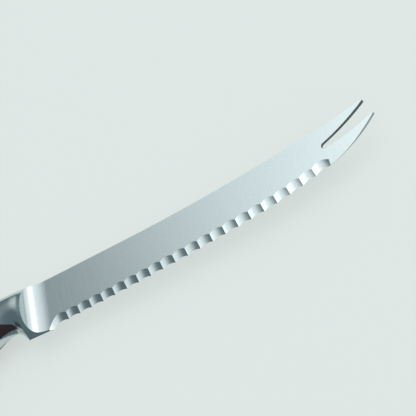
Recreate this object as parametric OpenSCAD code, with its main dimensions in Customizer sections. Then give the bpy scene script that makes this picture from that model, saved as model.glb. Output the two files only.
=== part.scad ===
// Tomato knife: a forged blade with a scalloped edge and a forked tip, a full bolster
// with a pointed finger guard, and a full tang between two riveted scales.
// The knife lies on the left side of its handle. The blade points along +X, the spine
// is toward +Y, and the right side, where the scallops are ground, faces up along +Z.
// Lengths along the knife are measured from the point of the finger guard, and heights
// from that same point, in millimetres.

/* [Blade] */
// Height of the spine above the guard's point
spine_y = 17.1; // [16:0.1:19]
// Distance from the guard's point to the corner of the heel
heel_x = 11.6; // [11.2:0.1:12]
// How far the heel's corner lies below the guard's point
heel_drop = 0.3; // [0.1:0.05:0.6]
// Thickness the ground faces would have at the guard's point
edge_t = 0.72; // [0.6:0.02:1]
// Growth in thickness for each millimetre from edge to spine
face_taper = 0.05; // [0.03:0.005:0.06]
// Loss of thickness for each millimetre toward the tip
tip_taper = 0.0045; // [0.002:0.0005:0.005]
// Straight length of the spine in front of the heel
spine_straight = 29; // [20:1:35]
// Bend radius of the spine along the blade
spine_r = 700; // [600:10:1200]
// Bend radius of the spine at the upper tine
spine_tip_r = 250; // [200:10:500]

/* [Scalloped edge] */
// Number of scallops
scallops = 22; // [18:1:22]
// Distance between neighbouring teeth
tooth_pitch = 4.65; // [4.4:0.05:4.7]
// Depth of each scallop behind the line of the teeth
scallop_depth = 0.62; // [0.4:0.02:0.8]
// Height of each flute above the scallop it leaves
flute_h = 2.3; // [1.8:0.1:2.8]
// Lean of the flutes toward the handle, in degrees
flute_lean = 5; // [0:1:10]
// Bend radius of the first stretch of the edge
belly_r = 1100; // [900:50:1500]
// Length of the first stretch of the edge
belly_l = 74; // [70:1:78]
// Bend radius of the edge where it sweeps up
sweep_r = 180; // [160:5:240]

/* [Forked tip] */
// Bend radius of the lower tine's outer edge
tine_r = 40; // [38:1:60]
// Length of the lower tine's outer edge, past the last tooth
tine_l = 20; // [16:0.5:21]
// Radius of the round at the bottom of the notch
notch_r = 1; // [0.8:0.05:1.2]
// Distance from the guard's point to the centre of that round
notch_x = 113.8; // [113:0.1:115]
// Height of the centre of that round
notch_y = 14.9; // [14.5:0.1:15.2]
// Bend radius of the upper tine's inner edge
inner_r = 65; // [50:1:120]
// Width of each blunted tine point
point_w = 0.3; // [0.2:0.05:0.5]
// Width of the bevel along the lower tine's outer edge
bevel_w = 1.8; // [1.2:0.1:2.2]

/* [Bolster] */
// Radius of the cove between bolster and blade
cove_r = 11; // [10:0.5:12]
// Distance from the guard's point to where the cove meets the flat of the blade
cove_x = 10.2; // [9.8:0.1:10.6]
// Radius of the seam around the front of the scale
seam_nose_r = 4.1; // [3.5:0.1:4.5]
// Radius of the seam where it sweeps up to the spine
seam_sweep_r = 22; // [18:1:30]

/* [Handle] */
// Distance from the guard's point to the end of the handle
handle_l = 112; // [110:1:114]
// Thickness of the handle across its flat sides
handle_t = 15; // [14.4:0.1:15]
// Thickness of the tang
tang_t = 3.4; // [3:0.2:4]
// Radius of the rounding around the end of the handle
butt_r = 2.5; // [1.5:0.5:3]
// Lean of the end of the handle, in millimetres per millimetre of height
butt_lean = 0.15; // [0:0.05:0.2]

/* [Rivets] */
// Distance from the guard's point to the middle rivet
rivet_x = 58; // [57:0.5:59]
// Distance between neighbouring rivets
rivet_gap = 30; // [28:0.5:30]
// Height of the rivets above the guard's point
rivet_y = 8.2; // [8:0.1:8.6]
// Diameter of the rivet heads
head_d = 6.4; // [6:0.1:6.6]
// Thickness of the rivet heads
head_t = 1.6; // [1.2:0.1:2]
// Diameter of the female half's barrel
barrel_d = 4.6; // [4:0.1:5]
// Diameter of the male half's pin
pin_d = 3; // [2.6:0.1:3.2]

/* [Hidden] */
$fn = 64;

steel = "#c9cfcf";
rivet_steel = "#b4babb";
scale_wood = "#2b2023";

// Half of the handle's thickness and of the tang's
side_z = handle_t / 2;
tang_z = tang_t / 2;
// Room that a cutting shape takes beyond what it cuts
clear = 1;
// Half the thickness of the plate that the blade is ground from
plate_z = 1.3;
// Where the plate starts inside the bolster, and where the bolster's loft ends in the plate
plate_x = 5;
loft_front = 12.5;

// Height and heading of the line of the teeth where the first scallop starts
edge_start = [11.15, 0.75, 0.5];
serrated_l = scallops * tooth_pitch;
edge_bends = [[belly_r, belly_l], [sweep_r, serrated_l - belly_l], [tine_r, tine_l]];
// The spine's straight part, long sweep and upper tine, as radius and length; 0 is straight
spine_start = [11, spine_y, 0];
spine_bends = [[0, spine_straight], [spine_r, 72], [spine_tip_r, 16.6]];

// Outlines of the handle and bolster, as distance from the guard's point and height
under_line = [[-112, -4], [-108, -4.2], [-102, -3.2], [-94, -1.6], [-84, -0.6], [-72, -1],
              [-58, -2.3], [-44, -2.9], [-32, -2.2], [-22, 0.2], [-16, 2.2], [-12, 3.4],
              [-8, 4], [-5, 3.9], [-2.8, 3.1], [0, 0]];
over_line = [[-112, 13.6], [-106, 14.6], [-96, 16.2], [-84, 17.4], [-70, 18.3], [-54, 18.8],
             [-36, 18.8], [-20, 18.5], [-8, 18.4], [0, 18.45], [2, 18.5], [4, 18.25],
             [6, 17.75], [8, 17.35], [10, 17.12], [loft_front, spine_y]];
// Half width of the rounded section before its sides are flattened
half_width = [[-112, 7.4], [-106, 8.2], [-98, 8.1], [-84, 7.9], [-70, 8.1], [-50, 8.3],
              [-34, 8.1], [-24, 7.6], [-16, 6.9], [-8, 5.9], [0, 5.2], [4, 5.1], [loft_front, 5.1]];
// Power of the section's rounding: 2 is an ellipse, more is squarer
fullness = [[-112, 2.5], [-60, 2.5], [-24, 2.4], [-12, 2.15], [0, 2], [loft_front, 2]];
section_sides = 28;

// Where a run along an arc ends: start is [x, y, heading], radius 0 is a straight line
function step(start, radius, run) =
    let (turn = radius == 0 ? 0 : run / radius * 180 / PI, end = start.z + turn)
    radius == 0
        ? [start.x + run * cos(start.z), start.y + run * sin(start.z), start.z]
        : [start.x + radius * (sin(end) - sin(start.z)), start.y - radius * (cos(end) - cos(start.z)), end];

// Place and heading after a run along a chain of arcs
function along(run, bends, start) =
    len(bends) == 1 || run <= bends[0][1]
        ? step(start, bends[0][0], run)
        : along(run - bends[0][1], [for (i = [1:len(bends) - 1]) bends[i]],
                step(start, bends[0][0], bends[0][1]));

function total(bends, i = 0) = i == len(bends) ? 0 : bends[i][1] + total(bends, i + 1);

function flat(place) = [place.x, place.y];

// Points of a left-hand arc from a to b
function arc_between(a, b, radius, steps) =
    let (d = b - a, span = norm(d), side = [-d.y, d.x] / span,
         centre = (a + b) / 2 + side * sqrt(radius * radius - span * span / 4),
         first = atan2(a.y - centre.y, a.x - centre.x), sweep = 2 * asin(span / 2 / radius))
    [for (i = [0:steps]) centre + radius * [cos(first + sweep * i / steps), sin(first + sweep * i / steps)]];

function arc(centre, radius, from, to, steps) =
    [for (i = [0:steps]) let (a = from + (to - from) * i / steps) centre + radius * [cos(a), sin(a)]];

// Slope of a smooth line through a table at its point i
function slope(table, i) =
    let (a = max(i - 1, 0), b = min(i + 1, len(table) - 1))
    (table[b][1] - table[a][1]) / (table[b][0] - table[a][0]);

// Height of a smooth line through a table, at x
function smooth(table, x, i = 0) =
    i < len(table) - 2 && x > table[i + 1][0]
        ? smooth(table, x, i + 1)
        : let (w = table[i + 1][0] - table[i][0], t = min(max((x - table[i][0]) / w, 0), 1),
               u = 1 - t)
          table[i][1] * u * u * (1 + 2 * t) + table[i + 1][1] * t * t * (3 - 2 * t)
              + w * t * u * (slope(table, i) * u - slope(table, i + 1) * t);

function under(x) = x > 0 ? -heel_drop * x / heel_x : smooth(under_line, x);
function over(x) = smooth(over_line, x);
function half_face(x, y) = (edge_t + face_taper * y - tip_taper * x) / 2;
function power(v, p) = sign(v) * pow(abs(v), p);

// One rounded section of the handle and bolster, as points in space
function section(x) =
    let (mid = (over(x) + under(x)) / 2,
         round_x = min(max(butt_r - handle_l - x, 0), butt_r),
         inset = butt_r - sqrt(butt_r * butt_r - round_x * round_x),
         half_h = (over(x) - under(x)) / 2 - inset,
         half_w = smooth(half_width, x) - inset,
         p = 2 / smooth(fullness, x),
         lean = butt_lean * pow(min(max((-x - 88) / (handle_l - 88), 0), 1), 2))
    [for (i = [0:section_sides - 1])
        let (a = 360 * i / section_sides, h = half_h * power(cos(a), p))
        [x + lean * h, mid + h, half_w * power(sin(a), p)]];

butt_stations = [for (a = [0:22.5:67.5]) -handle_l + butt_r * (1 - cos(a))];
grip_stations = [for (i = [0:24]) -handle_l + butt_r + (handle_l - butt_r - 12) * i / 24];
guard_stations = [-11, -10, -9, -8, -7, -6, -5.2, -4.4, -3.6, -2.8, -2, -1, 0];
cove_stations = [1, 2.5, 4, 5.5, 7, 8.5, 10, loft_front];

// Solid skinned over the sections at the given stations
module loft(stations) {
    rings = [for (x = stations) section(x)];
    last = len(rings) - 1;
    polyhedron(
        points = [for (ring = rings) each ring],
        faces = concat(
            [[for (i = [0:section_sides - 1]) i]],
            [[for (i = [0:section_sides - 1]) last * section_sides + section_sides - 1 - i]],
            [for (r = [0:last - 1], i = [0:section_sides - 1])
                let (a = r * section_sides + i, b = r * section_sides + (i + 1) % section_sides)
                each [[a, a + section_sides, b], [b, a + section_sides, b + section_sides]]]));
}

// Side view of the scales' space: behind a seam that curls round under the finger
// and sweeps up to the spine
module scale_area() {
    nose = [-7.4, 3];
    nose_turn = 75;
    sweep = nose + (seam_nose_r + seam_sweep_r) * [cos(nose_turn), sin(nose_turn)];
    rear = -handle_l - 10;
    polygon(concat(
        [[rear, -20], [nose.x + seam_nose_r, -20]],
        arc(nose, seam_nose_r, 0, nose_turn, 12),
        arc(sweep, seam_sweep_r, 180 + nose_turn - 4, 200, 10),
        [[rear, 40]]));
}

// Side view of the blade from the heel to the two points
module blade_area() {
    edge_l = total(edge_bends);
    spine_l = total(spine_bends);
    lower_tip = along(edge_l, edge_bends, edge_start);
    lower_back = flat(lower_tip) + point_w * [-sin(lower_tip.z), cos(lower_tip.z)];
    notch = [notch_x, notch_y];
    upper_tip = along(spine_l, spine_bends, spine_start);
    upper_front = flat(upper_tip) + point_w * [sin(upper_tip.z), -cos(upper_tip.z)];
    notch_round = arc(notch, notch_r, -78, -246, 10);
    polygon(concat(
        [[plate_x, under(plate_x)], [heel_x, -heel_drop]],
        [for (run = [2.4:4:serrated_l - 1]) flat(along(run, edge_bends, edge_start))],
        [for (run = [serrated_l:1:edge_l - 0.5]) flat(along(run, edge_bends, edge_start))],
        [flat(lower_tip), lower_back],
        notch_round,
        arc_between(notch_round[10] + [0.01, 0.01], upper_front, inner_r, 12),
        [flat(upper_tip)],
        [for (run = [spine_l - 2:-3:0]) flat(along(run, spine_bends, spine_start))],
        [for (x = [10:-1:plate_x]) [x, over(x)]]));
}

// Room beside the right face: the flat of the blade and the cove up to the bolster
module beside_face() {
    reach = 60;
    translate([0, 0, half_face(0, 0)])
        rotate([atan(face_taper / 2), atan(tip_taper / 2), 0])
            rotate([90, 0, 0])
                translate([0, 0, -reach])
                    linear_extrude(2 * reach) {
                        translate([cove_x, cove_r])
                            circle(r = cove_r, $fn = 128);
                        translate([cove_x, 0])
                            square([140, 2 * cove_r]);
                    }
}

// One ground flute, centred on its scallop
module flute(i) {
    place = along((i + 0.5) * tooth_pitch, edge_bends, edge_start);
    half = half_face(place.x, place.y);
    slant = atan(2 * half / flute_h);
    radius = tooth_pitch * tooth_pitch / 8 / scallop_depth / tan(slant);
    translate([place.x, place.y, -half])
        rotate([0, 0, place.z + flute_lean])
            translate([0, scallop_depth, 0])
                rotate([slant - 90, 0, 0])
                    translate([0, -radius, -5])
                        cylinder(h = 17, r = radius, $fn = 128);
}

// Bevel ground along the outer edge of the lower tine
module tine_bevel() {
    start = along(serrated_l, edge_bends, edge_start);
    centre = flat(start) + tine_r * [-sin(start.z), cos(start.z)];
    turn = tine_l / tine_r * 180 / PI;
    half = half_face(start.x, start.y);
    translate([centre.x, centre.y, 0])
        rotate([0, 0, start.z - 90])
            rotate_extrude(angle = turn + 5, $fn = 256)
                polygon([[tine_r - bevel_w, half + 0.1], [tine_r + clear, half + 0.1],
                         [tine_r + clear, -half], [tine_r - 0.1, -half + 0.1]]);
}

module rivet_places() {
    for (i = [-1:1])
        translate([i * rivet_gap - rivet_x, rivet_y, 0])
            children();
}

// Moves a piece from the guard's point to the model's origin, which lies where the
// middle rivet's axis meets the surface that the knife lies on
module in_frame() {
    translate([rivet_x, -rivet_y, side_z])
        children();
}

module blade() {
    color(steel)
        in_frame()
            difference() {
                union() {
                    intersection() {
                        loft(concat(butt_stations, grip_stations, guard_stations, cove_stations));
                        union() {
                            translate([-handle_l - 10, -20, -tang_z])
                                cube([handle_l + 10 + loft_front + clear, 60, tang_t]);
                            translate([0, 0, -side_z])
                                linear_extrude(handle_t)
                                    difference() {
                                        translate([-40, -20])
                                            square([40 + loft_front + clear, 60]);
                                        scale_area();
                                    }
                        }
                    }
                    translate([0, 0, -plate_z])
                        linear_extrude(2 * plate_z)
                            blade_area();
                }
                beside_face();
                mirror([0, 0, 1])
                    beside_face();
                for (i = [0:scallops - 1])
                    flute(i);
                tine_bevel();
                rivet_places()
                    cylinder(h = handle_t, d = barrel_d, center = true);
            }
}

// The scale on the right side, as it sits against the tang
module scale_blank() {
    intersection() {
        loft(concat(butt_stations, grip_stations, [for (x = guard_stations) if (x < -3) x], [-2.8]));
        translate([0, 0, tang_z])
            linear_extrude(side_z - tang_z)
                scale_area();
    }
}

module scale_right() {
    color(scale_wood)
        in_frame()
            difference() {
                scale_blank();
                rivet_places() {
                    cylinder(h = side_z + clear, d = barrel_d);
                    translate([0, 0, side_z - head_t])
                        cylinder(h = head_t + clear, d = head_d);
                }
            }
}

module scale_left() {
    color(scale_wood)
        in_frame()
            mirror([0, 0, 1])
                difference() {
                    scale_blank();
                    rivet_places() {
                        cylinder(h = side_z + clear, d = barrel_d);
                        translate([0, 0, side_z - head_t])
                            cylinder(h = head_t + clear, d = head_d);
                    }
                }
}

// Female half: head in the left scale, barrel through the tang, bored for the pin
module rivet_female(i) {
    barrel_l = handle_t - head_t - head_t - 1;
    color(rivet_steel)
        in_frame()
            translate([i * rivet_gap - rivet_x, rivet_y, -side_z])
                difference() {
                    union() {
                        cylinder(h = head_t, d = head_d);
                        cylinder(h = head_t + barrel_l, d = barrel_d);
                    }
                    translate([0, 0, head_t + 1])
                        cylinder(h = barrel_l, d = pin_d);
                }
}

// Male half: head in the right scale, pin pressed into the barrel
module rivet_male(i) {
    color(rivet_steel)
        in_frame()
            translate([i * rivet_gap - rivet_x, rivet_y, 0]) {
                translate([0, 0, side_z - head_t])
                    cylinder(h = head_t, d = head_d);
                translate([0, 0, -side_z + head_t + 2])
                    cylinder(h = handle_t - 2 * head_t - 1, d = pin_d);
            }
}

module rivet_front_female() rivet_female(1);
module rivet_front_male() rivet_male(1);
module rivet_middle_female() rivet_female(0);
module rivet_middle_male() rivet_male(0);
module rivet_rear_female() rivet_female(-1);
module rivet_rear_male() rivet_male(-1);

blade();
scale_right();
scale_left();
rivet_front_female();
rivet_front_male();
rivet_middle_female();
rivet_middle_male();
rivet_rear_female();
rivet_rear_male();
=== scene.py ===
"""Tomato knife on a pale floor, under soft studio light."""

from math import asin, atan, atan2, ceil, cos, degrees, hypot, pi, radians, sin, sqrt, tan

import bmesh
import bpy
from mathutils import Euler, Matrix, Vector


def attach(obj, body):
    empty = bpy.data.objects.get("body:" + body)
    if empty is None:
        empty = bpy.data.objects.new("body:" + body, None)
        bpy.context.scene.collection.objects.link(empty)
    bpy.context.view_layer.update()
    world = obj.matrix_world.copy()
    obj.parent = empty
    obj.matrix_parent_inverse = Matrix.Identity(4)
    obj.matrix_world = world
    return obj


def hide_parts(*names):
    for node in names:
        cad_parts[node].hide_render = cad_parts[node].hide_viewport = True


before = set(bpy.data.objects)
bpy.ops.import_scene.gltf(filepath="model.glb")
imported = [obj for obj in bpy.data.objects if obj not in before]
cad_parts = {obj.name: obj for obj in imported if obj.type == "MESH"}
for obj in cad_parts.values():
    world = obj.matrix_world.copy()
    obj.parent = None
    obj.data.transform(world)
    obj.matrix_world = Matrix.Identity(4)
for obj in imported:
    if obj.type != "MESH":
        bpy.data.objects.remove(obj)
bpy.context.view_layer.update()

# Lengths are in millimetres from the point of the finger guard, as in the part itself
MM = 0.001
GUARD = Vector((58.0, -8.2, 7.5)) * MM
TO_FRAME = Matrix.Translation(GUARD) @ Matrix.Scale(MM, 4)

# The photograph's frame, and the camera's place as seen from the guard's point
PHOTO_WIDTH_PX = 416
FOCAL_PX = 1200.0
SENSOR_MM = 36.0
CAMERA_AZIMUTH = radians(39.41)
CAMERA_ELEVATION = radians(49.82)
CAMERA_ROLL = radians(-59.05)
CAMERA_DISTANCE = 358.4
CAMERA_TARGET = Vector((72.66, 14.11, 0.0))

# Blade
SPINE_Y = 17.1
HEEL_X = 11.6
HEEL_DROP = 0.3
EDGE_T = 0.72
FACE_TAPER = 0.05
TIP_TAPER = 0.0045
SPINE_START = (11.0, SPINE_Y, 0.0)
SPINE_BENDS = ((0.0, 29.0), (700.0, 72.0), (250.0, 16.6))
PLATE_Z = 1.3
PLATE_X = 8.6
# Scalloped edge
SCALLOPS = 22
TOOTH_PITCH = 4.65
SCALLOP_DEPTH = 0.62
FLUTE_H = 2.3
FLUTE_LEAN = 5.0
FLUTE_CUT_L = 17.0
FLUTE_CUT_AHEAD = 3.5
FLUTE_CUT_SIDES = 512
SERRATED_L = SCALLOPS * TOOTH_PITCH
EDGE_START = (11.15, 0.75, 0.5)
EDGE_FROM = 2.4
# Forked tip
TINE_R = 40.0
TINE_L = 20.0
EDGE_BENDS = ((1100.0, 74.0), (180.0, SERRATED_L - 74.0), (TINE_R, TINE_L))
NOTCH = (113.8, 14.9)
NOTCH_R = 1.0
NOTCH_FROM = -78.0
NOTCH_TO = -246.0
INNER_R = 65.0
POINT_W = 0.3
BEVEL_W = 1.6
BEVEL_L = 14.0
BEVEL_SLOPE = 0.34
# Bolster and seam
COVE_R = 3.9
COVE_END_X = 9.6
RUNOUT_R = 28.0
RUNOUT_L = 5.0
LOFT_FRONT = 12.5
SEAM_NOSE = (-6.2, 2.8)
SEAM_NOSE_R = 4.1
SEAM_SWEEP_R = 22.0
SEAM_TURN = 75.0
SEAM_END = 200.0
# Handle
HANDLE_L = 112.0
SIDE_Z = 7.5
TANG_Z = 1.7
BUTT_R = 2.5
BUTT_LEAN = 0.15
# Rivets
RIVET_X = (-28.0, -58.0, -88.0)
RIVET_Y = 8.2
HEAD_D = 6.4
HEAD_T = 1.6
BARREL_D = 4.6
# Heights clear below and above the whole knife in side view, and room left past its ends
BELOW = -20.0
ABOVE = 40.0
PAST = 10.0
FAR_AHEAD = 160.0
# How far a cutter reaches past the surface that it cuts
PROUD = 1.0
# Fineness of the outlines: distance between points, and steps of an arc
EDGE_PITCH = 0.5
SPINE_PITCH = 1.0
HEEL_PITCH = 0.4
ARC_STEPS = 40
COVE_STEPS = 80
RUNOUT_STEPS = 12
SEAM_STEPS = 48

# Outlines of the handle and bolster, as distance from the guard's point and height
UNDER_LINE = ((-112, -4), (-108, -4.2), (-102, -3.2), (-94, -1.6), (-84, -0.6), (-72, -1),
              (-58, -2.3), (-44, -2.9), (-32, -2.2), (-22, 0.2), (-16, 2.2), (-12, 3.4),
              (-8, 4), (-5, 3.9), (-2.8, 3.1), (0, 0))
OVER_LINE = ((-112, 13.6), (-106, 14.6), (-96, 16.2), (-84, 17.4), (-70, 18.3), (-54, 18.8),
             (-36, 18.8), (-20, 18.5), (-8, 18.3), (0, 18.1), (2, 17.95), (4, 17.7),
             (6, 17.4), (8, 17.2), (10, 17.12), (LOFT_FRONT, SPINE_Y))
HALF_WIDTH = ((-112, 7.4), (-106, 8.2), (-98, 8.1), (-84, 7.9), (-70, 8.1), (-50, 8.3),
              (-34, 8.1), (-24, 7.6), (-19, 6.4), (-14, 5.55), (-8, 5.25), (0, 5.12), (4, 5.1),
              (LOFT_FRONT, 5.1))
FULLNESS = ((-112, 2.5), (-60, 2.5), (-24, 2.4), (-12, 2.15), (0, 2), (LOFT_FRONT, 2))


# Lines and arcs

def step(start, radius, run):
    """Place and heading, in degrees, after a run along one arc; radius 0 is straight."""
    x, y, heading = start
    a = radians(heading)
    if radius == 0:
        return (x + run * cos(a), y + run * sin(a), heading)
    b = a + run / radius
    return (x + radius * (sin(b) - sin(a)), y - radius * (cos(b) - cos(a)), degrees(b))


def along(run, bends, start):
    """Place and heading after a run along a chain of arcs."""
    for radius, length in bends[:-1]:
        if run <= length:
            return step(start, radius, run)
        start = step(start, radius, length)
        run -= length
    return step(start, bends[-1][0], run)


def total(bends):
    return sum(length for _, length in bends)


def spread(low, high, pitch):
    """Even values from low to high, no further apart than the pitch."""
    count = ceil((high - low) / pitch)
    return [low + (high - low) * i / count for i in range(count + 1)]


def arc(centre, radius, start, end, steps):
    """Points of an arc between two angles in degrees."""
    turns = [radians(start + (end - start) * i / steps) for i in range(steps + 1)]
    return [(centre[0] + radius * cos(a), centre[1] + radius * sin(a)) for a in turns]


def arc_between(a, b, radius, steps):
    """Points of a left-hand arc from a to b."""
    dx, dy = b[0] - a[0], b[1] - a[1]
    span = hypot(dx, dy)
    rise = sqrt(radius * radius - span * span / 4)
    centre = ((a[0] + b[0]) / 2 - dy / span * rise, (a[1] + b[1]) / 2 + dx / span * rise)
    first = degrees(atan2(a[1] - centre[1], a[0] - centre[0]))
    return arc(centre, radius, first, first + degrees(2 * asin(span / 2 / radius)), steps)


def slope(table, i):
    low, high = table[max(i - 1, 0)], table[min(i + 1, len(table) - 1)]
    return (high[1] - low[1]) / (high[0] - low[0])


def smooth(table, x):
    """Height at x of a smooth line through the table's points."""
    i = 0
    while i < len(table) - 2 and x > table[i + 1][0]:
        i += 1
    width = table[i + 1][0] - table[i][0]
    t = min(max((x - table[i][0]) / width, 0.0), 1.0)
    u = 1.0 - t
    return (table[i][1] * u * u * (1 + 2 * t) + table[i + 1][1] * t * t * (3 - 2 * t)
            + width * t * u * (slope(table, i) * u - slope(table, i + 1) * t))


def under(x):
    return -HEEL_DROP * x / HEEL_X if x > 0 else smooth(UNDER_LINE, x)


def over(x):
    return smooth(OVER_LINE, x)


def half_face(x, y):
    """Half of the ground blade's thickness."""
    return (EDGE_T + FACE_TAPER * y - TIP_TAPER * x) / 2


# Solids

def add_object(name, mesh):
    obj = bpy.data.objects.new(name, mesh)
    bpy.context.scene.collection.objects.link(obj)
    return obj


def solid(name, points, faces, material):
    """Object of one closed mesh with its faces turned outwards."""
    mesh = bpy.data.meshes.new(name)
    mesh.from_pydata(points, [], faces)
    shape = bmesh.new()
    shape.from_mesh(mesh)
    bmesh.ops.recalc_face_normals(shape, faces=shape.faces)
    shape.to_mesh(mesh)
    shape.free()
    mesh.materials.append(material)
    return add_object(name, mesh)


def skin(name, rings, material):
    """Solid skinned over rings of points, with a flat cap at each end."""
    sides = len(rings[0])
    points = [point for ring in rings for point in ring]
    faces = [tuple(range(sides)), tuple(range(len(points) - sides, len(points)))]
    for r in range(len(rings) - 1):
        for i in range(sides):
            a, b = r * sides + i, r * sides + (i + 1) % sides
            faces.append((a, b, b + sides, a + sides))
    return solid(name, points, faces, material)


def prism(name, outline, low, high, material):
    """Outline in side view, extruded between two heights."""
    return skin(name, [[(x, y, z) for x, y in outline] for z in (low, high)], material)


def cylinder(name, place, radius, low, high, material, sides=64):
    return prism(name, arc(place, radius, 0, 360 - 360 / sides, sides - 1), low, high, material)


def apply_modifiers(obj):
    """Turns the evaluated shape into the object's plain mesh."""
    shaped = obj.evaluated_get(bpy.context.evaluated_depsgraph_get())
    mesh = bpy.data.meshes.new_from_object(shaped, preserve_all_data_layers=True,
                                           depsgraph=bpy.context.evaluated_depsgraph_get())
    obj.modifiers.clear()
    obj.data = mesh


def combine(obj, tool, operation):
    """Joins a tool to the object, cuts it away or keeps what they share."""
    change = obj.modifiers.new(operation, "BOOLEAN")
    change.operation = operation
    change.solver = "EXACT"
    change.material_mode = "TRANSFER"
    change.object = tool
    apply_modifiers(obj)
    bpy.data.objects.remove(tool)
    return obj


# Sections of the handle and bolster

SECTION_SIDES = 112
LEAN_FROM = 88.0
KEEL_FROM = -14.0
KEEL_FULL = -4.0
BUTT_TURN = 9
GRIP_STEP = 1.5
GUARD_FROM = -12
GUARD_STEP = 0.3
FRONT_STEP = 0.5


def power(value, exponent):
    return abs(value) ** exponent * (1 if value >= 0 else -1)


def section(x):
    """Rounded section of the handle and bolster at one distance from the guard."""
    mid = (over(x) + under(x)) / 2
    round_x = min(max(BUTT_R - HANDLE_L - x, 0.0), BUTT_R)
    inset = BUTT_R - sqrt(max(BUTT_R * BUTT_R - round_x * round_x, 0.0))
    half_h = (over(x) - under(x)) / 2 - inset
    half_w = smooth(HALF_WIDTH, x) - inset
    p = 2 / smooth(FULLNESS, x)
    lean = BUTT_LEAN * min(max((-x - LEAN_FROM) / (HANDLE_L - LEAN_FROM), 0.0), 1.0) ** 2
    keel = 1 + min(max((x - KEEL_FROM) / (KEEL_FULL - KEEL_FROM), 0.0), 1.0)
    ring = []
    for i in range(SECTION_SIDES):
        a = 2 * pi * i / SECTION_SIDES
        h = half_h * power(cos(a), p)
        w = half_w * power(sin(a), p * keel if h < 0 else p)
        ring.append((x + lean * h, mid + h, w))
    return ring


def stations(front):
    """Distances at which the loft takes its sections, up to the front one."""
    butt = [-HANDLE_L + BUTT_R * (1 - cos(radians(a))) for a in range(0, 90, BUTT_TURN)]
    grip = spread(-HANDLE_L + BUTT_R, GUARD_FROM, GRIP_STEP)
    guard = spread(GUARD_FROM + GUARD_STEP, 0, GUARD_STEP)
    bolster = spread(FRONT_STEP, LOFT_FRONT, FRONT_STEP)
    return [x for x in butt + grip + guard + bolster if x <= front]


def loft(name, front, material):
    return skin(name, [section(x) for x in stations(front)], material)


def seam_points():
    """Seam from under the finger, round the scale's nose and up past the spine."""
    reach = SEAM_NOSE_R + SEAM_SWEEP_R
    a = radians(SEAM_TURN)
    sweep = (SEAM_NOSE[0] + reach * cos(a), SEAM_NOSE[1] + reach * sin(a))
    nose = arc(SEAM_NOSE, SEAM_NOSE_R, 0, SEAM_TURN, SEAM_STEPS)
    sweep_from = 179 + SEAM_TURN
    return nose + arc(sweep, SEAM_SWEEP_R, sweep_from, SEAM_END, SEAM_STEPS)


def scale_area():
    """Side view of the room behind the seam."""
    rear = -HANDLE_L - PAST
    seam = seam_points()
    return [(rear, BELOW), (seam[0][0], BELOW)] + seam + [(rear, ABOVE)]


def bolster_area():
    """Side view of the room ahead of the seam."""
    seam = seam_points()
    front = LOFT_FRONT + PROUD
    top_rear = -40.0
    return ([(seam[0][0], BELOW), (front, BELOW), (front, ABOVE), (top_rear, ABOVE)]
            + seam[::-1])


# Blade

def square_to(place, distance):
    """Point to the left of a place on an outline, square to its heading."""
    x, y, heading = place
    return (x - distance * sin(radians(heading)), y + distance * cos(radians(heading)))


def blade_area():
    """Side view of the blade from the heel to past the two points."""
    edge_l, spine_l = total(EDGE_BENDS) + PROUD, total(SPINE_BENDS) + PROUD
    edge_runs = spread(EDGE_FROM, edge_l, EDGE_PITCH)
    spine_runs = spread(0, spine_l, SPINE_PITCH)[::-1]
    edge = [along(run, EDGE_BENDS, EDGE_START)[:2] for run in edge_runs]
    spine = [along(run, SPINE_BENDS, SPINE_START)[:2] for run in spine_runs]
    heel = [(x, over(x)) for x in spread(PLATE_X, SPINE_START[0], HEEL_PITCH)[-2::-1]]
    return [(PLATE_X, under(PLATE_X)), (HEEL_X, -HEEL_DROP)] + edge + spine + heel


def fork_area():
    """Side view of the gap between the two points, and of the room ahead of them."""
    beyond = 5.0
    lower = along(total(EDGE_BENDS), EDGE_BENDS, EDGE_START)
    upper = along(total(SPINE_BENDS), SPINE_BENDS, SPINE_START)
    notch = arc(NOTCH, NOTCH_R, NOTCH_FROM, NOTCH_TO, ARC_STEPS)
    lower_inner = arc_between(notch[0], square_to(lower, POINT_W), INNER_R, ARC_STEPS)[:0:-1]
    upper_inner = arc_between(notch[-1], square_to(upper, -POINT_W), INNER_R, ARC_STEPS)[1:]
    below, above = square_to(lower, -beyond), square_to(upper, beyond)
    return ([below] + lower_inner + notch + upper_inner
            + [above, (FAR_AHEAD, above[1]), (FAR_AHEAD, below[1])])


def beside_face(side, material):
    """Room beside one face: the flat of the blade and the cove up to the bolster."""
    reach = 60.0
    top = 14.0
    turn = degrees(asin(RUNOUT_L / RUNOUT_R))
    runout = arc((COVE_END_X, RUNOUT_R), RUNOUT_R, 270 - turn, 270, RUNOUT_STEPS)
    lift = RUNOUT_R - COVE_R
    centre = (COVE_END_X - lift * sin(radians(turn)), RUNOUT_R - lift * cos(radians(turn)))
    cove = arc(centre, COVE_R, 180, 270 - turn, COVE_STEPS)[:-1] + runout
    outline = cove + [(FAR_AHEAD, 0), (FAR_AHEAD, top), (cove[0][0], top)]
    tool = skin("beside_face", [[(x, y, z) for x, z in outline] for y in (-reach, reach)], material)
    tilt = Euler((atan(FACE_TAPER / 2), atan(TIP_TAPER / 2), 0)).to_matrix().to_4x4()
    tool.data.transform(Matrix.Translation((0, 0, half_face(0, 0))) @ tilt)
    if side < 0:
        tool.data.transform(Matrix.Scale(-1, 4, (0, 0, 1)))
        tool.data.flip_normals()
    return tool


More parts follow.
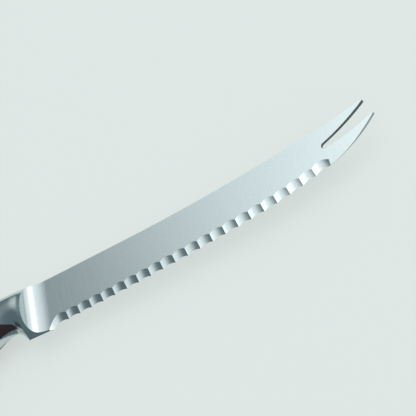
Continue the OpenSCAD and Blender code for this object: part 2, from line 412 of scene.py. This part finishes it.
def flute_row_tree():
    """Geometry Nodes that set one grinding cylinder on each point of the row."""
    tree = bpy.data.node_groups.new("flute_row", "GeometryNodeTree")
    face = tree.interface
    face.new_socket("Geometry", in_out="INPUT", socket_type="NodeSocketGeometry")
    face.new_socket("Cutter length", in_out="INPUT", socket_type="NodeSocketFloat")
    face.new_socket("Cutter sides", in_out="INPUT", socket_type="NodeSocketInt")
    face.new_socket("Finish", in_out="INPUT", socket_type="NodeSocketMaterial")
    face.new_socket("Geometry", in_out="OUTPUT", socket_type="NodeSocketGeometry")
    nodes, links = tree.nodes, tree.links
    given = nodes.new("NodeGroupInput")
    result = nodes.new("NodeGroupOutput")
    cutter = nodes.new("GeometryNodeMeshCylinder")
    cutter.inputs["Radius"].default_value = 1.0
    links.new(given.outputs["Cutter sides"], cutter.inputs["Vertices"])
    links.new(given.outputs["Cutter length"], cutter.inputs["Depth"])
    turn = nodes.new("GeometryNodeInputNamedAttribute")
    turn.data_type = "FLOAT_VECTOR"
    turn.inputs["Name"].default_value = "turn"
    radius = nodes.new("GeometryNodeInputNamedAttribute")
    radius.data_type = "FLOAT"
    radius.inputs["Name"].default_value = "radius"
    size = nodes.new("ShaderNodeCombineXYZ")
    links.new(radius.outputs["Attribute"], size.inputs["X"])
    links.new(radius.outputs["Attribute"], size.inputs["Y"])
    size.inputs["Z"].default_value = 1.0
    spin = nodes.new("FunctionNodeEulerToRotation")
    links.new(turn.outputs["Attribute"], spin.inputs["Euler"])
    row = nodes.new("GeometryNodeInstanceOnPoints")
    links.new(given.outputs["Geometry"], row.inputs["Points"])
    links.new(cutter.outputs["Mesh"], row.inputs["Instance"])
    links.new(spin.outputs["Rotation"], row.inputs["Rotation"])
    links.new(size.outputs["Vector"], row.inputs["Scale"])
    real = nodes.new("GeometryNodeRealizeInstances")
    finish = nodes.new("GeometryNodeSetMaterial")
    links.new(row.outputs["Instances"], real.inputs["Geometry"])
    links.new(real.outputs["Geometry"], finish.inputs["Geometry"])
    links.new(given.outputs["Finish"], finish.inputs["Material"])
    links.new(finish.outputs["Geometry"], result.inputs["Geometry"])
    return tree


def set_inputs(modifier, values):
    """Sets a Geometry Nodes modifier's inputs by their sockets' identifiers."""
    for item in modifier.node_group.interface.items_tree:
        if item.item_type == "SOCKET" and item.in_out == "INPUT" and item.name in values:
            modifier[item.identifier] = values[item.name]


def flute_cutters(material):
    """The row of grinding cylinders, one object for each scallop."""
    points, turns, radii = [], [], []
    for i in range(SCALLOPS):
        x, y, heading = along((i + 0.5) * TOOTH_PITCH, EDGE_BENDS, EDGE_START)
        half = half_face(x, y)
        slant = atan(2 * half / FLUTE_H)
        radius = TOOTH_PITCH ** 2 / 8 / SCALLOP_DEPTH / tan(slant)
        turn = (Matrix.Rotation(radians(heading + FLUTE_LEAN), 4, "Z")
                @ Matrix.Translation((0, SCALLOP_DEPTH, 0))
                @ Matrix.Rotation(slant - pi / 2, 4, "X") @ Matrix.Translation((0, -radius, FLUTE_CUT_AHEAD)))
        place = Matrix.Translation((x, y, -half)) @ turn
        points.append(place.translation)
        turns.append(place.to_euler())
        radii.append(radius)
    mesh = bpy.data.meshes.new("flute_row")
    mesh.from_pydata(points, [], [])
    mesh.attributes.new("turn", "FLOAT_VECTOR", "POINT").data.foreach_set(
        "vector", [value for turn in turns for value in turn])
    mesh.attributes.new("radius", "FLOAT", "POINT").data.foreach_set("value", radii)
    row = add_object("flute_row", mesh)
    nodes = row.modifiers.new("row", "NODES")
    nodes.node_group = flute_row_tree()
    set_inputs(nodes, {"Cutter length": FLUTE_CUT_L, "Cutter sides": FLUTE_CUT_SIDES,
                       "Finish": material})
    apply_modifiers(row)
    points = [vert.co.copy() for vert in row.data.vertices]
    faces = [list(face.vertices) for face in row.data.polygons]
    bpy.data.objects.remove(row)
    cutters = []
    count = len(points) // SCALLOPS
    for i in range(SCALLOPS):
        low = i * count
        own = [[v - low for v in face] for face in faces if low <= face[0] < low + count]
        cutters.append(solid(f"flute_{i}", points[low:low + count], own, material))
    return cutters


def tine_bevel(material):
    """Room beside the flat bevel along the lower tine's outer edge."""
    proud = 0.2
    reach = 4.0
    start = Vector(square_to(along(SERRATED_L, EDGE_BENDS, EDGE_START), BEVEL_W))
    end = Vector(along(SERRATED_L + BEVEL_L, EDGE_BENDS, EDGE_START)[:2])
    run = (end - start).normalized()
    out = Vector((run.y, -run.x))
    rings = []
    for place in (start, end + run * reach):
        face = half_face(*place)
        profile = ((-proud / BEVEL_SLOPE, face + proud), (reach, face + proud),
                   (reach, face - reach * BEVEL_SLOPE))
        rings.append([(*(place + out * q), z) for q, z in profile])
    return skin("tine_bevel", rings, material)


# Angle in degrees between two faces of one finish from which their edge is sharp
CORNER = {"bolster": 35.0, "satin": 12.0, "flute": 3.0, "edge": 15.0, "bevel": 10.0, "fork_painted_shade": 15.0,
          "dark_wood": 24.0}


def sharpen(obj):
    """Smooth shading with crisp edges between finishes and at real corners."""
    mesh = obj.data
    shape = bmesh.new()
    shape.from_mesh(mesh)
    corners = [radians(CORNER[material.name]) for material in mesh.materials]
    for face in shape.faces:
        face.smooth = True
    for edge in shape.edges:
        if len(edge.link_faces) != 2:
            edge.smooth = False
            continue
        a, b = edge.link_faces
        same = a.material_index == b.material_index
        edge.smooth = same and edge.calc_face_angle(0.0) < corners[a.material_index]
    shape.to_mesh(mesh)
    shape.free()
    weigh = obj.modifiers.new("weigh", "WEIGHTED_NORMAL")
    weigh.keep_sharp = True
    apply_modifiers(obj)


def make_blade(finish):
    """Blade, bolster and tang, forged and ground from one bar."""
    blade = loft("blade_forging", LOFT_FRONT, finish["bolster"])
    rear, front = -HANDLE_L - PAST, LOFT_FRONT + 2 * PROUD
    low, high = BELOW - PAST, ABOVE + PAST
    inside = prism("inside", [(rear, low), (front, low), (front, high), (rear, high)],
                   -TANG_Z, TANG_Z, finish["bolster"])
    combine(inside, prism("bolster", bolster_area(), -SIDE_Z, SIDE_Z, finish["bolster"]), "UNION")
    combine(blade, inside, "INTERSECT")
    combine(blade, prism("plate", blade_area(), -PLATE_Z, PLATE_Z, finish["edge"]), "UNION")
    # The gap's cut faces take a near-black finish: painted shade in place of the dark reflection along the
    # notch's inner edges.
    combine(blade, prism("fork_painted_shade", fork_area(), -2 * PLATE_Z, 2 * PLATE_Z, finish["fork_painted_shade"]), "DIFFERENCE")
    for side in (1, -1):
        combine(blade, beside_face(side, finish["satin"]), "DIFFERENCE")
    for cutter in flute_cutters(finish["flute"]):
        combine(blade, cutter, "DIFFERENCE")
    combine(blade, tine_bevel(finish["bevel"]), "DIFFERENCE")
    for x in RIVET_X:
        hole = cylinder("hole", (x, RIVET_Y), BARREL_D / 2, -SIDE_Z, SIDE_Z, finish["edge"])
        combine(blade, hole, "DIFFERENCE")
    sharpen(blade)
    blade.data.transform(TO_FRAME)
    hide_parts("blade")
    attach(blade, "root")
    return blade


def make_scale(side, finish):
    """One handle scale, from the flat of the tang to its own flat side."""
    name = "scale_right" if side > 0 else "scale_left"
    past_nose = 0.5
    scale = loft(name + "_wood", SEAM_NOSE[0] + SEAM_NOSE_R + past_nose, finish["wood"])
    combine(scale, prism("scale_room", scale_area(), TANG_Z, SIDE_Z, finish["wood"]), "INTERSECT")
    for x in RIVET_X:
        for low, diameter in ((0, BARREL_D), (SIDE_Z - HEAD_T, HEAD_D)):
            hole = cylinder("hole", (x, RIVET_Y), diameter / 2, low, SIDE_Z + PROUD, finish["wood"])
            combine(scale, hole, "DIFFERENCE")
    sharpen(scale)
    scale.data.transform(TO_FRAME)
    if side < 0:
        flip = Matrix.Translation(GUARD) @ Matrix.Scale(-1, 4, (0, 0, 1)) @ Matrix.Translation(-GUARD)
        scale.data.transform(flip)
        scale.data.flip_normals()
    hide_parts(name)
    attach(scale, "root")


def finish_rivets(finish):
    """New finish on the six rivet pieces, which stay as they are."""
    for name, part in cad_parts.items():
        if name.startswith("rivet"):
            part.data.materials.clear()
            part.data.materials.append(finish["rivet"])


# Finishes, with lines counted per metre on each axis and the depth of a line in metres

GREY = (0.56, 0.63, 0.645)
PALE = (0.66, 0.725, 0.735)
ACROSS = (5000.0, 160.0, 160.0)
ACROSS_FLUTE = (5000.0, 200.0, 200.0)
ALONG = (200.0, 3000.0, 3000.0)
LINE_DEPTH = 0.00001
BACKDROP_SHARE = 0.72


def node_material(name):
    """New material with its Principled shader."""
    material = bpy.data.materials.new(name)
    material.use_nodes = True
    return material, material.node_tree, material.node_tree.nodes["Principled BSDF"]


def grained(name, dark, pale, rough, lines_per_m, detail):
    """New material whose colour and roughness vary with one stretched noise."""
    material, tree, shader = node_material(name)
    nodes, links = tree.nodes, tree.links
    place = nodes.new("ShaderNodeTexCoord")
    stretch = nodes.new("ShaderNodeMapping")
    stretch.inputs["Scale"].default_value = lines_per_m
    lines = nodes.new("ShaderNodeTexNoise")
    lines.inputs["Scale"].default_value = 1.0
    lines.inputs["Detail"].default_value = detail
    links.new(place.outputs["Object"], stretch.inputs["Vector"])
    links.new(stretch.outputs["Vector"], lines.inputs["Vector"])
    tint = nodes.new("ShaderNodeMix")
    tint.data_type = "RGBA"
    tint.inputs["A"].default_value = (*dark, 1)
    tint.inputs["B"].default_value = (*pale, 1)
    links.new(lines.outputs["Fac"], tint.inputs["Factor"])
    links.new(tint.outputs["Result"], shader.inputs["Base Color"])
    polish = nodes.new("ShaderNodeMapRange")
    polish.inputs["To Min"].default_value = rough[0]
    polish.inputs["To Max"].default_value = rough[1]
    links.new(lines.outputs["Fac"], polish.inputs["Value"])
    links.new(polish.outputs["Result"], shader.inputs["Roughness"])
    return material, tree, shader, lines


def steel(name, dark, pale, rough, lines_per_m, bump_strength):
    """Ground steel; its fine lines run along the axis on which they are fewest per metre."""
    material, tree, shader, lines = grained(name, dark, pale, rough, lines_per_m, 4.0)
    nodes, links = tree.nodes, tree.links
    bump = nodes.new("ShaderNodeBump")
    bump.inputs["Strength"].default_value = bump_strength
    bump.inputs["Distance"].default_value = LINE_DEPTH
    links.new(lines.outputs["Fac"], bump.inputs["Height"])
    links.new(bump.outputs["Normal"], shader.inputs["Normal"])
    shader.inputs["Metallic"].default_value = 1.0
    return material


def dark_wood():
    """Resin-bonded dark wood with fine grain along the handle, polished."""
    return grained("dark_wood", (0.010, 0.006, 0.007), (0.045, 0.022, 0.026), (0.18, 0.32),
                   (40.0, 900.0, 900.0), 6.0)[0]


def maximum(tree, first, second):
    """Output of a node that gives the larger of two values."""
    larger = tree.nodes.new("ShaderNodeMath")
    larger.operation = "MAXIMUM"
    tree.links.new(first, larger.inputs[0])
    tree.links.new(second, larger.inputs[1])
    return larger.outputs["Value"]


def make_finishes():
    """All finishes of the knife, by the name of what they are on."""
    return {
        "satin": steel("satin", GREY, PALE, (0.25, 0.31), ACROSS, 0.10),
        "flute": steel("flute", GREY, PALE, (0.16, 0.24), ACROSS_FLUTE, 0.15),
        "bevel": steel("bevel", GREY, PALE, (0.16, 0.24), ACROSS_FLUTE, 0.15),
        "bolster": steel("bolster", GREY, PALE, (0.14, 0.24), ALONG, 0.10),
        "edge": steel("edge", (0.30, 0.35, 0.35), (0.40, 0.46, 0.45), (0.28, 0.38), ALONG, 0.10),
        "rivet": steel("rivet", GREY, PALE, (0.20, 0.32), (900.0, 2600.0, 900.0), 0.10),
        # Near-black steel on the notch's cut faces is painted shade, standing in for the dark reflection
        # along the fork's inner edges.
        "fork_painted_shade": steel("fork_painted_shade", (0.10, 0.12, 0.13), (0.15, 0.17, 0.18), (0.5, 0.6), ALONG, 0.10),
        "wood": dark_wood(),
    }


def pale_floor():
    """Pale blue-grey studio floor, mostly a plain background where it is seen or mirrored."""
    material, tree, shader = node_material("pale_floor")
    nodes, links = tree.nodes, tree.links
    mottle = nodes.new("ShaderNodeTexNoise")
    mottle.inputs["Scale"].default_value = 3.0
    tint = nodes.new("ShaderNodeMix")
    tint.data_type = "RGBA"
    tint.inputs["A"].default_value = (0.74, 0.80, 0.78, 1)
    tint.inputs["B"].default_value = (0.78, 0.83, 0.81, 1)
    links.new(mottle.outputs["Fac"], tint.inputs["Factor"])
    links.new(tint.outputs["Result"], shader.inputs["Base Color"])
    shader.inputs["Roughness"].default_value = 0.9
    glow = nodes.new("ShaderNodeEmission")
    links.new(tint.outputs["Result"], glow.inputs["Color"])
    ray = nodes.new("ShaderNodeLightPath")
    straight = maximum(tree, ray.outputs["Is Camera Ray"], ray.outputs["Is Glossy Ray"])
    seen = maximum(tree, straight, ray.outputs["Is Transmission Ray"])
    share = nodes.new("ShaderNodeMath")
    share.operation = "MULTIPLY"
    share.inputs[1].default_value = BACKDROP_SHARE
    links.new(seen, share.inputs[0])
    blend = nodes.new("ShaderNodeMixShader")
    links.new(share.outputs["Value"], blend.inputs["Fac"])
    links.new(shader.outputs["BSDF"], blend.inputs[1])
    links.new(glow.outputs["Emission"], blend.inputs[2])
    links.new(blend.outputs["Shader"], nodes["Material Output"].inputs["Surface"])
    return material


# Camera, floor and light

def make_camera():
    """Camera at the photograph's angle; azimuth is measured from -Y toward +X."""
    away = Vector((cos(CAMERA_ELEVATION) * sin(CAMERA_AZIMUTH),
                   -cos(CAMERA_ELEVATION) * cos(CAMERA_AZIMUTH),
                   sin(CAMERA_ELEVATION)))
    level = Vector((0, 0, 1)).cross(away).normalized()
    upright = away.cross(level)
    right = cos(CAMERA_ROLL) * level + sin(CAMERA_ROLL) * upright
    up = away.cross(right)
    data = bpy.data.cameras.new("camera")
    data.sensor_width = SENSOR_MM
    data.lens = FOCAL_PX * SENSOR_MM / PHOTO_WIDTH_PX
    data.clip_start = 0.01
    camera = add_object("camera", data)
    place = GUARD + (CAMERA_TARGET + CAMERA_DISTANCE * away) * MM
    camera.matrix_world = Matrix.Translation(place) @ Matrix((right, up, away)).transposed().to_4x4()
    bpy.context.scene.camera = camera


def make_floor():
    """Flat floor that the knife lies on."""
    half = 3.0
    mesh = bpy.data.meshes.new("floor")
    mesh.from_pydata([(-half, -half, 0), (half, -half, 0), (half, half, 0), (-half, half, 0)],
                     [], [(0, 1, 2, 3)])
    mesh.materials.append(pale_floor())
    add_object("floor", mesh)


def add_lamp(name, place, size, power_w):
    """Square soft lamp that faces the knife."""
    data = bpy.data.lights.new(name, "AREA")
    data.size = size
    data.energy = power_w
    lamp = add_object(name, data)
    lamp.location = place
    lamp.rotation_euler = Vector(place).to_track_quat("Z", "Y").to_euler()


def smooth_step(tree, value, low, high):
    """Output of a node that rises softly from 0 to 1 between two values."""
    ramp = tree.nodes.new("ShaderNodeMapRange")
    ramp.interpolation_type = "SMOOTHSTEP"
    ramp.inputs["From Min"].default_value = low
    ramp.inputs["From Max"].default_value = high
    tree.links.new(value, ramp.inputs["Value"])
    return ramp.outputs["Result"]


def make_light():
    """World that is pale high up on the tip's side, dark behind the handle and at the horizon."""
    pale_side = (1.0, 0.245, 0.35)
    side_from, side_to = -0.21, 0.03
    horizon, clear_of_horizon = 0.0, 0.25
    world = bpy.data.worlds.new("studio")
    bpy.context.scene.world = world
    world.use_nodes = True
    tree = world.node_tree
    nodes, links = tree.nodes, tree.links
    sky = nodes["Background"]
    look = nodes.new("ShaderNodeTexCoord")
    toward = nodes.new("ShaderNodeVectorMath")
    toward.operation = "DOT_PRODUCT"
    toward.inputs[1].default_value = pale_side
    links.new(look.outputs["Generated"], toward.inputs[0])
    side = smooth_step(tree, toward.outputs["Value"], side_from, side_to)
    height = nodes.new("ShaderNodeSeparateXYZ")
    links.new(look.outputs["Generated"], height.inputs["Vector"])
    rise = smooth_step(tree, height.outputs["Z"], horizon, clear_of_horizon)
    share = nodes.new("ShaderNodeMath")
    share.operation = "MULTIPLY"
    links.new(side, share.inputs[0])
    links.new(rise, share.inputs[1])
    tint = nodes.new("ShaderNodeMix")
    tint.data_type = "RGBA"
    tint.inputs["A"].default_value = (0.13, 0.18, 0.20, 1)
    tint.inputs["B"].default_value = (1.06, 1.11, 1.11, 1)
    links.new(share.outputs["Value"], tint.inputs["Factor"])
    links.new(tint.outputs["Result"], sky.inputs["Color"])
    add_lamp("overhead", place=(0.25, 0.3, 0.9), size=0.8, power_w=1.5)


make_camera()
finishes = make_finishes()
make_blade(finishes)
make_scale(1, finishes)
make_scale(-1, finishes)
finish_rivets(finishes)
make_floor()
make_light()
bpy.context.scene.view_settings.view_transform = "Standard"
